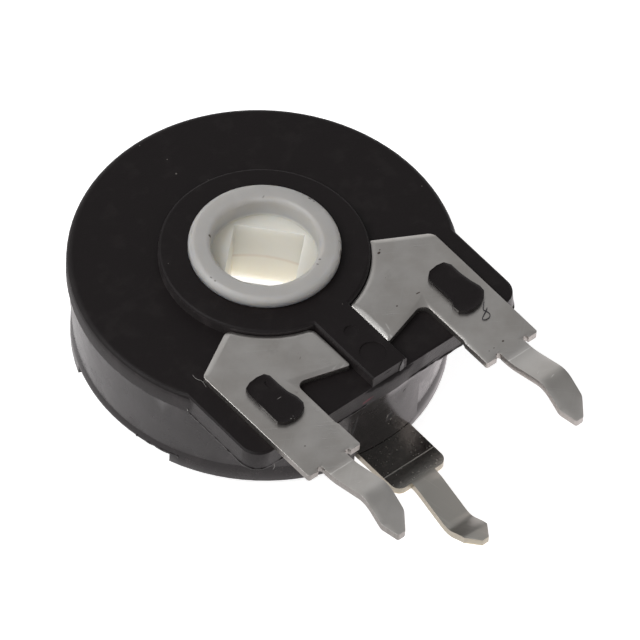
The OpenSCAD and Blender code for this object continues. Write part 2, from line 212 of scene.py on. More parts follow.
# Specks: sparse dust or pits, round and of unequal size
specks, specks_in, specks_out = new_group("specks", {"Per mm": 2.0, "Share": 0.1, "Radius": 0.2}, ["Mask"])
cells = specks.nodes.new("ShaderNodeTexVoronoi")
specks.links.new(specks_in.outputs["Vector"], cells.inputs["Vector"])
specks.links.new(add_math(specks, "MULTIPLY", specks_in.outputs["Per mm"], 1 / MM), cells.inputs["Scale"])
lot = specks.nodes.new("ShaderNodeSeparateColor")
specks.links.new(cells.outputs["Color"], lot.inputs["Color"])
chosen = add_math(specks, "LESS_THAN", lot.outputs["Red"], specks_in.outputs["Share"])
reach = add_math(specks, "MULTIPLY", lot.outputs["Green"], specks_in.outputs["Radius"])
inside = add_math(specks, "LESS_THAN", cells.outputs["Distance"], reach)
specks.links.new(add_math(specks, "MULTIPLY", chosen, inside), specks_out.inputs["Mask"])

# Scratches: short fine lines that run one way, some long and some short
scratches, scratches_in, scratches_out = new_group("scratches", {"Turn": 0.0, "Across per mm": 14.0}, ["Mask"])
turned = scratches.nodes.new("ShaderNodeVectorRotate")
turned.rotation_type = "Z_AXIS"
scratches.links.new(scratches_in.outputs["Vector"], turned.inputs["Vector"])
scratches.links.new(scratches_in.outputs["Turn"], turned.inputs["Angle"])
drawn = scratches.nodes.new("ShaderNodeVectorMath")
drawn.operation = "MULTIPLY"
drawn.inputs[1].default_value = (0.03, 1, 0.03)
scratches.links.new(turned.outputs["Vector"], drawn.inputs[0])
across = add_math(scratches, "MULTIPLY", scratches_in.outputs["Across per mm"], 1 / MM)
line = add_noise(scratches, drawn.outputs["Vector"], across, detail=2.0)
scratches.links.new(add_range(scratches, line, 0.58, 0.74), scratches_out.inputs["Mask"])

# Spot: one stain or scuff with a ragged edge, at a place given in millimetres
spot, spot_in, spot_out = new_group("spot", {"X": 0.0, "Y": 0.0, "Long": 0.2, "Wide": 0.2, "Turn": 0.0,
                                             "Ragged": 0.5}, ["Mask"])
place_of = spot.nodes.new("ShaderNodeCombineXYZ")
for axis in "XY":
    spot.links.new(add_math(spot, "MULTIPLY", spot_in.outputs[axis], MM), place_of.inputs[axis])
from_it = spot.nodes.new("ShaderNodeVectorMath")
from_it.operation = "SUBTRACT"
spot.links.new(spot_in.outputs["Vector"], from_it.inputs[0])
spot.links.new(place_of.outputs["Vector"], from_it.inputs[1])
turned = spot.nodes.new("ShaderNodeVectorRotate")
turned.rotation_type = "Z_AXIS"
turned.invert = True
spot.links.new(from_it.outputs["Vector"], turned.inputs["Vector"])
spot.links.new(spot_in.outputs["Turn"], turned.inputs["Angle"])
apart = split(spot, turned.outputs["Vector"])
along = add_math(spot, "DIVIDE", apart["X"], add_math(spot, "MULTIPLY", spot_in.outputs["Long"], MM))
aside = add_math(spot, "DIVIDE", apart["Y"], add_math(spot, "MULTIPLY", spot_in.outputs["Wide"], MM))
far = add_math(spot, "ADD", add_math(spot, "MULTIPLY", along, along), add_math(spot, "MULTIPLY", aside, aside))
torn = add_math(spot, "MULTIPLY", add_noise(spot, spot_in.outputs["Vector"], 5), spot_in.outputs["Ragged"])
spot.links.new(add_range(spot, add_math(spot, "ADD", far, torn), 1.0, 0.45), spot_out.inputs["Mask"])

dirt_colour = (0.002, 0.0015, 0.0015)
dust_colour = (0.13, 0.12, 0.11)
mark_colour = (0.22, 0.21, 0.2)
red_stain = (0.13, 0.022, 0.035)
pale_speck = (0.3, 0.28, 0.26)
parting_z = -1.25
parting_waver = 0.16
seam_drop = 0.04
seam_reach = (0.015, 0.045)
front_y = -8.0
cup_reach = (8.58, 8.68)

# Marks on the staking heads: x, y, length, width and turn
rear_marks = [(-4.73, -6.66, 0.16, 0.018, 0.0), (-5.07, -7.84, 0.05, 0.03, 0.4), (-4.98, -7.95, 0.04, 0.025, 0.9),
              (-5.12, -7.98, 0.03, 0.03, 0.0), (-4.9, -7.78, 0.025, 0.02, 0.0)]

# Dirt, and a stain and specks, on the front: x, z, length, width, turn and raggedness
front_dirt = [(2.1, -1.13, 1.3, 0.05, 0.12, 0.9), (0.1, -3.15, 0.5, 0.34, 0.9, 1.2),
              (-1.75, -2.7, 1.0, 0.07, 1.35, 0.7), (-0.1, 0.02, 0.3, 0.05, 0.1, 1.0),
              (0.9, -2.0, 0.2, 0.08, 0.5, 1.0)]
front_specks = [(-1.25, -0.97, 0.45, 0.1, 0.35, 0.8, red_stain), (0.0, -3.05, 0.16, 0.06, 1.1, 0.8, pale_speck),
                (0.22, -3.38, 0.08, 0.06, 0.2, 0.6, pale_speck), (0.1, -3.62, 0.05, 0.05, 0.0, 0.5, (0.25, 0.23, 0.2))]


def black_plastic(name, base, worn, ior):
    """Black moulding: matt where it is level, sandy above the parting line and glossy below it."""
    material, tree, shader, place = new_material(name, base, 0.5, ior=ior)
    apart = split(tree, place)
    facing = split(tree, tree.nodes.new("ShaderNodeNewGeometry").outputs["Normal"])
    level = add_range(tree, add_math(tree, "ABSOLUTE", facing["Z"]), 0.55, 0.85)
    ragged = add_math(tree, "MULTIPLY", add_math(tree, "SUBTRACT", add_noise(tree, place, 3.5), 0.5),
                      parting_waver * MM)
    height = add_math(tree, "SUBTRACT", add_math(tree, "ADD", apart["Z"], ragged), parting_z * MM)
    upper = add_range(tree, height, -0.03 * MM, 0.03 * MM)
    seam = add_math(tree, "ABSOLUTE", add_math(tree, "ADD", height, seam_drop * MM))
    seam = add_range(tree, seam, seam_reach[1] * MM, seam_reach[0] * MM)
    broken = add_range(tree, add_noise(tree, place, 1.3), 0.38, 0.6, 0.1, 0.7)
    seam = add_math(tree, "MULTIPLY", add_math(tree, "MULTIPLY", seam, broken),
                    add_math(tree, "SUBTRACT", 1.0, level))
    upper_half = add_math(tree, "MAXIMUM", upper, level)
    cloud = add_noise(tree, place, 0.5)
    mottle = add_noise(tree, place, 2.2, detail=5)
    streaks = add_group(tree, scratches, place, Turn=0.6, Across_per_mm=9)
    smudge = add_range(tree, add_noise(tree, place, 0.8, detail=6), 0.48, 0.7)
    gloss = add_math(tree, "ADD", 0.18, add_math(tree, "MULTIPLY", mottle, 0.12))
    gloss = add_math(tree, "ADD", gloss, add_math(tree, "MULTIPLY", smudge, 0.1))
    on_cup = add_range(tree, add_reach(tree, place), cup_reach[1] * MM, cup_reach[0] * MM, 0.26, 0.52)
    sandy = add_math(tree, "ADD", on_cup, add_math(tree, "MULTIPLY", mottle, 0.14))
    matt = add_math(tree, "ADD", 0.46, add_math(tree, "MULTIPLY", cloud, 0.24))
    matt = add_math(tree, "SUBTRACT", matt, add_math(tree, "MULTIPLY", streaks.outputs["Mask"], 0.06))
    finish = add_blend(tree, level, add_blend(tree, upper, gloss, sandy), matt)

    dust = add_group(tree, specks, place, Per_mm=1.5, Share=0.06, Radius=0.08)
    lint = add_group(tree, specks, place, Per_mm=4.5, Share=0.015, Radius=0.14)
    chips = add_group(tree, specks, place, Per_mm=1.9, Share=0.12, Radius=0.13)
    pale = add_range(tree, add_noise(tree, place, 1.1, detail=5), 0.5, 0.7)
    colour = add_mix(tree, pale, base, worn)
    low_chips = add_math(tree, "MULTIPLY", chips.outputs["Mask"], add_math(tree, "SUBTRACT", 1.0, upper_half))
    from_front = tree.nodes.new("ShaderNodeCombineXYZ")
    tree.links.new(apart["X"], from_front.inputs["X"])
    tree.links.new(apart["Z"], from_front.inputs["Y"])
    at_front = add_math(tree, "LESS_THAN", apart["Y"], front_y * MM)
    dirt = add_math(tree, "MAXIMUM", low_chips, seam)
    for x, z, length, width, turn, torn in front_dirt:
        patch = add_group(tree, spot, from_front.outputs["Vector"], X=x, Y=z, Long=length, Wide=width, Turn=turn,
                          Ragged=torn)
        dirt = add_math(tree, "MAXIMUM", dirt, add_math(tree, "MULTIPLY", patch.outputs["Mask"], at_front))
    finish = add_math(tree, "ADD", finish, add_math(tree, "MULTIPLY", dirt, 0.5), clamp=True)
    tree.links.new(finish, shader.inputs["Roughness"])
    colour = add_mix(tree, dirt, colour, dirt_colour)
    colour = add_mix(tree, add_math(tree, "MAXIMUM", dust.outputs["Mask"], lint.outputs["Mask"]), colour, dust_colour)
    for x, y, length, width, turn in rear_marks:
        mark = add_group(tree, spot, place, X=x, Y=y, Long=length, Wide=width, Turn=turn, Ragged=0.4)
        colour = add_mix(tree, mark.outputs["Mask"], colour, mark_colour)
    for x, z, length, width, turn, torn, speck_colour in front_specks:
        speck = add_group(tree, spot, from_front.outputs["Vector"], X=x, Y=z, Long=length, Wide=width, Turn=turn,
                          Ragged=torn)
        colour = add_mix(tree, add_math(tree, "MULTIPLY", speck.outputs["Mask"], at_front), colour, speck_colour)
    tree.links.new(colour, shader.inputs["Base Color"])

    sand = add_math(tree, "ADD", 1.0, add_math(tree, "MULTIPLY", add_math(tree, "SUBTRACT", upper, level), 1.2))
    grain = add_math(tree, "MULTIPLY", add_math(tree, "MULTIPLY", add_noise(tree, place, 16), upper_half), sand)
    wave = add_math(tree, "MULTIPLY", add_noise(tree, place, 0.45), 1.6)
    relief = add_math(tree, "ADD", add_math(tree, "ADD", grain, wave), add_math(tree, "MULTIPLY", mottle, 0.25))
    add_bump(tree, shader, add_math(tree, "SUBTRACT", relief, add_math(tree, "MULTIPLY", dirt, 1.5)), 0.012, 0.6)
    return material


# The level faces take a darker copy of the black and the steep ones a paler copy: painted shade on the rear face and a
# painted sheen on the walls, besides their real matt and glossy finishes.
black_matt = black_plastic("black_matt", (0.0058, 0.0034, 0.0038), (0.0095, 0.0068, 0.007), 1.34)
black_gloss = black_plastic("black_gloss", (0.0125, 0.0095, 0.0098), (0.026, 0.0205, 0.0215), 1.475)

flash_black, tree, shader, place = new_material("flash_black", (0.03, 0.027, 0.027), 0.4)
tree.links.new(add_mix(tree, add_range(tree, add_noise(tree, place, 3.2), 0.4, 0.62), (0.012, 0.01, 0.01),
                       (0.05, 0.046, 0.046)), shader.inputs["Base Color"])
add_bump(tree, shader, add_noise(tree, place, 9), 0.02, 0.8)


def take(piece):
    """Makes one piece the only one that is selected, and the active one."""
    bpy.ops.object.select_all(action="DESELECT")
    piece.select_set(True)
    bpy.context.view_layer.objects.active = piece


def start_edit(piece):
    """Puts one piece alone in edit mode with nothing selected."""
    take(piece)
    bpy.ops.object.mode_set(mode="EDIT")
    bpy.ops.mesh.select_all(action="DESELECT")


def pick(piece, kind, test):
    """Selects those vertices, edges or faces of a piece in edit mode that pass a test."""
    bpy.ops.mesh.select_mode(type=kind)
    bpy.ops.mesh.select_all(action="DESELECT")
    shape = bmesh.from_edit_mesh(piece.data)
    for element in {"VERT": shape.verts, "EDGE": shape.edges, "FACE": shape.faces}[kind]:
        if test(element):
            element.select_set(True)
    bmesh.update_edit_mesh(piece.data)


def copy_node(node, name):
    """A copy of a CAD node that takes its place, with its loose triangles merged and its flats made whole."""
    piece = bpy.data.objects.new(name, nodes[node].data.copy())
    bpy.context.collection.objects.link(piece)
    start_edit(piece)
    bpy.ops.mesh.customdata_custom_splitnormals_clear()
    bpy.ops.mesh.select_all(action="SELECT")
    bpy.ops.mesh.remove_doubles(threshold=0.001 * MM)
    bpy.ops.mesh.dissolve_limited(angle_limit=math.radians(0.5))
    bpy.ops.object.mode_set(mode="OBJECT")
    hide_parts(node)
    return piece


def break_edges(piece, width, segments=2, angle=32):
    """Rounds a piece's sharp edges with an applied Bevel modifier and shades the rest smooth."""
    take(piece)
    modifier = piece.modifiers.new("edges", "BEVEL")
    modifier.width = width * MM
    modifier.segments = segments
    modifier.limit_method = "ANGLE"
    modifier.angle_limit = math.radians(angle)
    bpy.ops.object.modifier_apply(modifier=modifier.name)
    bpy.ops.object.shade_smooth_by_angle(angle=math.radians(40))
    weigh_normals(piece)


def weigh_normals(piece):
    """Lets a piece's large flats keep their own normals, so that only its rounded edges shade softly."""
    modifier = piece.modifiers.new("normals", "WEIGHTED_NORMAL")
    modifier.mode = "FACE_AREA"
    modifier.weight = 100
    modifier.keep_sharp = True
    bpy.ops.object.modifier_apply(modifier=modifier.name)


def seat(piece, material, body):
    """Gives a finished piece its material and body."""
    set_material(piece, material)
    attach(piece, body)


head_middle = (5.0, -6.62)
foot_round = 0.16
post_share = 0.7
post_top = 0.1
wall_slope = 0.5


def is_foot_end(edge):
    """Whether an edge is one of the four lower ends of the feet."""
    a, b = (vertex.co for vertex in edge.verts)
    radial = abs(a.x * b.y - a.y * b.x) < 0.01 * MM * MM
    return radial and max(a.z, b.z) < cad_box[0][2] + 0.01 * MM and abs(a.xy.length - b.xy.length) > 0.5 * MM


def is_post_head(vertex):
    """Whether a vertex belongs to the plain head of one of the two posts."""
    return vertex.co.z > -0.005 * MM and abs(vertex.co.x) > 3.5 * MM and vertex.co.y < -5 * MM


housing = copy_node("housing", "housing_moulding")
start_edit(housing)
pick(housing, "EDGE", is_foot_end)
bpy.ops.mesh.bevel(offset_type="OFFSET", offset=foot_round * MM, segments=4, affect="EDGES")

# The plain heads of the two posts are drawn in, to lie inside the staking heads
pick(housing, "VERT", is_post_head)
for vertex in bmesh.from_edit_mesh(housing.data).verts:
    if vertex.select:
        middle = Vector((math.copysign(head_middle[0], vertex.co.x), head_middle[1])) * MM
        vertex.co.xy = middle + (vertex.co.xy - middle) * post_share
        vertex.co.z = min(vertex.co.z, post_top * MM)
bpy.ops.object.mode_set(mode="OBJECT")
break_edges(housing, 0.035, angle=28)
seat(housing, black_matt, "housing_body")
# Steep faces take the paler copy of the black, whose paleness is a painted sheen
housing.data.materials.append(black_gloss)
for face in housing.data.polygons:
    if abs(face.normal.z) < wall_slope:
        face.material_index = 1

# Mould flash
# Thin skins of black plastic that squeezed out between the mould halves, along the block's lower edge, at the rim
# and at the end of the spoke. They are ragged and a little paler.
chance = random.Random(7)
rim_r = 8.27
rim_turns = (190, 205)
rim_z = -4.95
fin_y = -8.38
fin_t = 0.04


def fill_outline(name, outline, z=0.0):
    """A flat piece with the given corners, in millimetres, made from a filled circle of as many corners."""
    bpy.ops.object.select_all(action="DESELECT")
    bpy.ops.mesh.primitive_circle_add(vertices=len(outline), radius=MM, fill_type="NGON")
    piece = bpy.context.object
    piece.name = name
    for vertex, (x, y) in zip(piece.data.vertices, outline):
        vertex.co = Vector((x, y, z)) * MM
    return piece


def thicken(piece, way):
    """Extrudes a flat piece along a way in metres and turns its faces outwards. It stays in edit mode."""
    start_edit(piece)
    bpy.ops.mesh.select_all(action="SELECT")
    bpy.ops.mesh.extrude_region_move(TRANSFORM_OT_translate={"value": way})
    bpy.ops.mesh.select_all(action="SELECT")
    bpy.ops.mesh.normals_make_consistent(inside=False)


def ragged_strip(name, path, inner, reach, low_z, high_z):
    """A ragged skin beside a path of (x, y, outward x, outward y) points, in millimetres."""
    outer = []
    for x, y, out_x, out_y in path:
        out = chance.uniform(0.15, 1) * reach
        outer.append((x + out * out_x, y + out * out_y))
    back = [(x - inner * out_x, y - inner * out_y) for x, y, out_x, out_y in reversed(path)]
    skin = fill_outline(name, outer + back, low_z)
    thicken(skin, (0, 0, (high_z - low_z) * MM))
    bpy.ops.transform.vertex_random(offset=0.012 * MM, uniform=0.5, normal=0, seed=5)
    bpy.ops.object.mode_set(mode="OBJECT")
    bpy.ops.object.shade_smooth_by_angle(angle=math.radians(40))
    seat(skin, flash_black, "housing_body")


def block_edge(steps_per_mm):
    """Points along the block's lower edge from its left side to its right, each with its way out."""
    half, front, corner, back = 7.55, -8.45, 0.9, -4.1
    side_steps = int((front + corner - back) * -steps_per_mm)
    corner_steps = int(corner * math.pi / 2 * steps_per_mm)
    front_steps = int(2 * (half - corner) * steps_per_mm)
    turns = [math.pi / 2 * i / corner_steps for i in range(corner_steps + 1)]
    points = [(-half, back + (front + corner - back) * i / side_steps, -1, 0) for i in range(side_steps)]
    points += [(-half + corner - corner * math.cos(turn), front + corner - corner * math.sin(turn),
                -math.cos(turn), -math.sin(turn)) for turn in turns[:-1]]
    points += [(-half + corner + 2 * (half - corner) * i / front_steps, front, 0, -1) for i in range(front_steps)]
    points += [(half - corner + corner * math.sin(turn), front + corner - corner * math.cos(turn),
                math.sin(turn), -math.cos(turn)) for turn in turns]
    return points


def rim_edge(radius, low_angle, high_angle, steps):
    """Points along an arc about the axis, each with its way out."""
    turns = [math.radians(low_angle + (high_angle - low_angle) * i / steps) for i in range(steps + 1)]
    return [(radius * math.cos(turn), radius * math.sin(turn), math.cos(turn), math.sin(turn)) for turn in turns]


ragged_strip("block_flash", block_edge(steps_per_mm=5), inner=0.12, reach=0.045,
             low_z=parting_z - 0.03, high_z=parting_z + 0.03)
ragged_strip("rim_flash", rim_edge(rim_r, *rim_turns, steps=18), inner=0.1, reach=0.05,
             low_z=rim_z, high_z=rim_z + 0.09)

fin_outline = [(0.52, -0.34), (0.6, -0.42), (0.76, -0.36), (0.79, -0.12), (0.73, 0.08), (0.71, 0.3), (0.66, 0.12),
               (0.57, -0.06)]
fin = fill_outline("spoke_flash", fin_outline)
for vertex in fin.data.vertices:
    vertex.co = Vector((vertex.co.x, fin_y * MM, vertex.co.y))
thicken(fin, (0, -fin_t * MM, 0))
bpy.ops.object.mode_set(mode="OBJECT")
seat(fin, flash_black, "housing_body")

# Staking heads
# The two posts of the housing that hold the end terminals. A hot tool flattened them over the sheet, so that
# each head is lumpy and its rim has spread unevenly.
head_outlines = {
    "left_staking_head": (-1, [(-0.64, 0.93), (-0.55, 1.21), (-0.23, 1.35), (0.21, 1.39), (0.56, 1.33),
                               (0.7, 1.12), (0.71, 0.51), (0.75, -0.02), (0.89, -0.48), (0.89, -0.89),
                               (0.73, -1.15), (0.43, -1.31), (0.03, -1.36), (-0.41, -1.27), (-0.66, -1.04),
                               (-0.67, -0.73), (-0.64, -0.11), (-0.66, 0.42)]),
    "right_staking_head": (1, [(-0.5, 0.87), (-0.43, 1.08), (-0.16, 1.31), (0.29, 1.37), (0.65, 1.31),
                               (0.83, 1.0), (0.83, 0.41), (0.91, -0.19), (1.03, -0.66), (1.0, -0.96),
                               (0.79, -1.21), (0.45, -1.4), (0.01, -1.47), (-0.33, -1.41), (-0.61, -1.17),
                               (-0.63, -0.87), (-0.5, -0.57), (-0.47, -0.02), (-0.48, 0.49)]),
}
head_h = 0.19
head_steps = [(0.05, 0.05), (0.13, 0.02), (0.14, 0), (0.12, 0)]
lumps = 0.02
for seed, (name, (side, outline)) in enumerate(head_outlines.items()):
    head = fill_outline(name, [(side * head_middle[0] + x, head_middle[1] + y) for x, y in outline])
    start_edit(head)
    bpy.ops.mesh.select_all(action="SELECT")
    bpy.ops.mesh.extrude_region_move(TRANSFORM_OT_translate={"value": (0, 0, head_h * MM)})
    for width, rise in head_steps:
        bpy.ops.mesh.inset(thickness=width * MM, depth=rise * MM)
    bpy.ops.mesh.select_all(action="SELECT")
    bpy.ops.mesh.normals_make_consistent(inside=False)
    pick(head, "VERT", lambda vertex: vertex.co.z > (head_h + 0.01) * MM)
    bpy.ops.transform.vertex_random(offset=lumps * MM, uniform=0.2, normal=0.6, seed=seed)
    bpy.ops.object.mode_set(mode="OBJECT")
    break_edges(head, 0.025, angle=35)
    seat(head, black_matt, "housing_body")

# White rotor
# Natural acetal, moulded in one piece and a little translucent. Its ring is a darker white than its bore. A lamp
# under the bore lights it from below. The bore is also painted paler, and paler still below an arch, as a
# painted glow of that light.
ring_white = (0.475, 0.465, 0.455)
# Painted glow: the pale colours of the bore, and of the part below the arch, stand in for light from below
painted_glow_white = (0.74, 0.725, 0.67)
painted_underlight_white = (0.8, 0.775, 0.7)
hole_half = 1.55
ring_fade = (-0.08, -0.3)
arch_z = -2.15
arch_slope = 0.42
arch_fade = 0.12
arch_line_reach = (0.02, 0.16)
white, tree, shader, place = new_material("white_moulding", ring_white, 0.4, ior=1.47)
shader.inputs["Subsurface Weight"].default_value = 1.0
shader.inputs["Subsurface Radius"].default_value = (1.0, 0.9, 0.75)
shader.inputs["Subsurface Scale"].default_value = 1.2 * MM
apart = split(tree, place)
haze = add_range(tree, add_noise(tree, place, 0.6), 0.45, 0.75)
colour = add_mix(tree, haze, ring_white, (0.44, 0.43, 0.42))
# Painted glow: below the ring's top the bore turns paler, and below the arch paler still
colour = add_mix(tree, add_range(tree, apart["Z"], ring_fade[0] * MM, ring_fade[1] * MM), colour, painted_glow_white)
drop = add_math(tree, "MULTIPLY", add_math(tree, "SUBTRACT", add_reach(tree, place), hole_half * MM), arch_slope)
above_arch = add_math(tree, "ADD", add_math(tree, "SUBTRACT", apart["Z"], arch_z * MM), drop)
colour = add_mix(tree, add_range(tree, above_arch, arch_fade * MM, -arch_fade * MM), colour, painted_underlight_white)
arch_line = add_range(tree, add_math(tree, "ABSOLUTE", above_arch), arch_line_reach[1] * MM,
                      arch_line_reach[0] * MM, 0.0, 0.5)
colour = add_mix(tree, arch_line, colour, (0.6, 0.5, 0.4))
soot_colour = (0.06, 0.045, 0.03)

# Soot on the ring: x, y, length, width, turn and depth
soot = [(-1.63, 1.76, 0.09, 0.085, 0.0, 0.95), (1.56, 1.97, 0.11, 0.05, 0.3, 0.4),
        (3.08, 0.66, 0.13, 0.07, -1.3, 0.9), (3.13, 0.44, 0.08, 0.06, -1.3, 0.85),
        (2.98, 1.0, 0.06, 0.05, 0.0, 0.5), (-3.12, -0.13, 0.1, 0.05, -1.4, 0.6),
        (-3.1, -0.37, 0.09, 0.06, -1.4, 0.6), (1.21, -2.23, 0.07, 0.09, 0.6, 0.7), (0.96, -2.38, 0.06, 0.1, 0.4, 0.6),
        (2.22, -2.43, 0.28, 0.06, 0.83, 0.6), (2.62, -2.02, 0.06, 0.2, 0.6, 0.5)]
for x, y, length, width, turn, depth in soot:
    grime = add_group(tree, spot, place, X=x, Y=y, Long=length, Wide=width, Turn=turn, Ragged=0.6)
    colour = add_mix(tree, add_math(tree, "MULTIPLY", grime.outputs["Mask"], depth), colour, soot_colour)
tree.links.new(colour, shader.inputs["Base Color"])
lines = add_group(tree, scratches, place, Turn=0.9, Across_per_mm=8)
tree.links.new(add_math(tree, "ADD", 0.42, add_math(tree, "MULTIPLY", lines.outputs["Mask"], 0.1)),
               shader.inputs["Roughness"])
add_bump(tree, shader, add_noise(tree, place, 2.5), 0.02, 0.5)
rotor = copy_node("rotor", "rotor_moulding")
break_edges(rotor, 0.04)
seat(rotor, white, "rotor_body")

# End terminals
# Two mirrored stampings of tinned sheet, satin on the flats, with a rolled edge on the outer side, bare cut
# faces and a snap-in pin each. The right one was bent at its wing when it was staked.
tin_base = (0.64, 0.625, 0.605)
tin, tree, shader, place = new_material("satin_tin", tin_base, 0.3, metallic=1.0)
cloud = add_noise(tree, place, 0.7, detail=5)
fine = add_group(tree, scratches, place, Turn=0.55, Across_per_mm=16)
long = add_group(tree, scratches, place, Turn=-0.7, Across_per_mm=7)
marks = add_math(tree, "MAXIMUM", fine.outputs["Mask"], add_math(tree, "MULTIPLY", long.outputs["Mask"], 0.7))
pits = add_group(tree, specks, place, Per_mm=2.2, Share=0.05, Radius=0.09)
dull = add_range(tree, add_noise(tree, place, 0.4, detail=6), 0.35, 0.65)
colour = add_mix(tree, dull, (0.73, 0.705, 0.68), (0.615, 0.585, 0.555))
colour = add_mix(tree, add_math(tree, "MULTIPLY", marks, 0.5), colour, (0.72, 0.71, 0.69))
colour = add_mix(tree, pits.outputs["Mask"], colour, (0.12, 0.1, 0.09))
tin_stain = (0.1, 0.07, 0.055)
tin_scuff = (0.86, 0.85, 0.83)

# Stains and specks on the plates: x, y, length, width, turn, raggedness and depth
stains = [(-2.56, -5.46, 0.2, 0.05, 0.5, 1.2, 0.35), (-2.45, -5.2, 0.12, 0.03, 0.5, 1.2, 0.3),
          (-3.86, -6.81, 0.3, 0.22, 0.3, 1.5, 0.2), (-4.4, -7.0, 0.9, 0.4, 1.2, 1.4, 0.1),
          (-3.2, -4.4, 0.9, 0.5, 0.3, 1.4, 0.1), (-5.49, -9.27, 0.06, 0.05, 0.0, 0.4, 0.7),
          (3.88, -3.09, 0.12, 0.08, 0.2, 0.5, 0.95), (4.02, -2.98, 0.05, 0.04, 0.2, 0.4, 0.9),
          (3.76, -5.84, 0.15, 0.04, -0.1, 0.4, 0.95), (2.57, -5.83, 0.06, 0.05, 0.0, 0.4, 0.9),
          (4.9, -10.12, 0.08, 0.06, 0.0, 0.5, 0.9), (4.34, -10.17, 0.05, 0.03, 0.0, 0.4, 0.85),
          (4.07, -10.17, 0.04, 0.03, 0.0, 0.4, 0.85), (3.4, -4.3, 0.8, 0.35, 0.9, 1.4, 0.1)]
for x, y, length, width, turn, ragged, depth in stains:
    stain = add_group(tree, spot, place, X=x, Y=y, Long=length, Wide=width, Turn=turn, Ragged=ragged)
    colour = add_mix(tree, add_math(tree, "MULTIPLY", stain.outputs["Mask"], depth), colour, tin_stain)

# Scuffs at the plates' edges and on the pins: x, y, length, width, turn and raggedness
scuffs = [(-1.35, -6.9, 0.4, 0.12, 0.3, 1.2), (-1.7, -6.75, 0.3, 0.06, 0.2, 1.0), (1.3, -7.0, 0.35, 0.12, 1.4, 1.2),
          (1.5, -6.5, 0.5, 0.05, 1.3, 1.0), (1.14, -5.8, 1.5, 0.22, 1.57, 0.35), (-6.46, -6.9, 3.4, 0.1, 1.57, 1.0),
          (5.0, -13.2, 0.25, 0.04, 0.3, 1.0), (4.7, -12.6, 0.2, 0.03, 0.5, 1.0), (-5.1, -12.4, 0.2, 0.03, -0.4, 1.0)]
apart = split(tree, place)
bend_y = -11.08
pin_fade = (-10.9, -11.2)
on_pin = add_range(tree, apart["Y"], pin_fade[0] * MM, pin_fade[1] * MM)
wobble = add_math(tree, "MULTIPLY", add_noise(tree, place, 2), 0.08 * MM)
gap = add_math(tree, "ABSOLUTE", add_math(tree, "ADD", add_math(tree, "SUBTRACT", apart["Y"], bend_y * MM), wobble))
worn = add_range(tree, gap, 0.035 * MM, 0.01 * MM)
for x, y, length, width, turn, ragged in scuffs:
    scuff = add_group(tree, spot, place, X=x, Y=y, Long=length, Wide=width, Turn=turn, Ragged=ragged)
    worn = add_math(tree, "MAXIMUM", worn, scuff.outputs["Mask"])
worn = add_math(tree, "MULTIPLY", worn, 0.6)
colour = add_mix(tree, add_math(tree, "MULTIPLY", on_pin, 0.35), colour, (0.45, 0.44, 0.42))
colour = add_mix(tree, worn, colour, tin_scuff)
tree.links.new(colour, shader.inputs["Base Color"])
finish = add_math(tree, "ADD", 0.25, add_math(tree, "MULTIPLY", cloud, 0.16))
finish = add_math(tree, "ADD", finish, add_math(tree, "MULTIPLY", on_pin, 0.14))
finish = add_math(tree, "SUBTRACT", finish, add_math(tree, "MULTIPLY", marks, 0.05))
tree.links.new(add_math(tree, "ADD", finish, add_math(tree, "MULTIPLY", worn, 0.3)), shader.inputs["Roughness"])
relief = add_math(tree, "ADD", add_math(tree, "MULTIPLY", marks, 0.25), add_noise(tree, place, 1.2))
relief = add_math(tree, "ADD", relief, add_math(tree, "MULTIPLY", add_noise(tree, place, 9), 0.16))
add_bump(tree, shader, relief, 0.012, 0.5)

cut_tin, tree, shader, place = new_material("cut_tin", (0.36, 0.34, 0.32), 0.42, metallic=1.0)
drag = tree.nodes.new("ShaderNodeMapping")
drag.inputs["Scale"].default_value = (1, 1, 0.06)
tree.links.new(place, drag.inputs["Vector"])
drag_lines = add_noise(tree, drag.outputs["Vector"], 14)
tree.links.new(add_mix(tree, drag_lines, (0.24, 0.225, 0.21), (0.44, 0.42, 0.4)), shader.inputs["Base Color"])
add_bump(tree, shader, drag_lines, 0.02, 0.6)

sheet_t = 0.35
edge_roll = 0.26
roll_drop = 0.04
stem_x = 5.0
shoulder_y = -10.65
taper_y = -14.45
tip_y = -15.1
pin_half = 0.65
tip_half = 0.2
arc_r = 4.65
arc_turns = (-29.7, -76.4)
arc_steps = 14
arc = [(arc_r * math.cos(turn), arc_r * math.sin(turn)) for turn in
       (math.radians(arc_turns[1] + (arc_turns[0] - arc_turns[1]) * step / arc_steps)
        for step in range(arc_steps + 1))]
plate_outline = arc + [(6.475, -3.664), (6.425, shoulder_y), (stem_x + pin_half, shoulder_y),
                       (stem_x + pin_half, taper_y), (stem_x + tip_half, tip_y), (stem_x - tip_half, tip_y),
                       (stem_x - pin_half, taper_y), (stem_x - pin_half, shoulder_y), (3.55, shoulder_y),
                       (3.55, -9.22), (3.61, -9.05), (3.61, -6.33), (1.07, -7.07)]

# Corners that are rounded, each with its radius on the left plate and on the right one
corner_radii = {(1.09, -4.52): (0.3, 0.1), (4.04, -2.3): (0.35, 0.08), (6.475, -3.664): (0.15, 0.25),
                (6.425, shoulder_y): (0.12, 0.12), (3.55, shoulder_y): (0.1, 0.1), (3.61, -6.33): (0.5, 0.55),
                (1.07, -7.07): (0.14, 0.1), (stem_x + pin_half, taper_y): (0.1, 0.1),
                (stem_x - pin_half, taper_y): (0.1, 0.1), (stem_x + tip_half, tip_y): (0.08, 0.08),
                (stem_x - tip_half, tip_y): (0.08, 0.08)}
pin_path = [(-9.65, 0), (-11.25, 0), (-13.35, 0.648), (-14.5, -0.09), (-15.4, -0.78)]
pin_reach = 0.4
bend_top = -10.85
bend_pitch = 0.15
bend_lines = [bend_top - bend_pitch * step for step in range(28)]


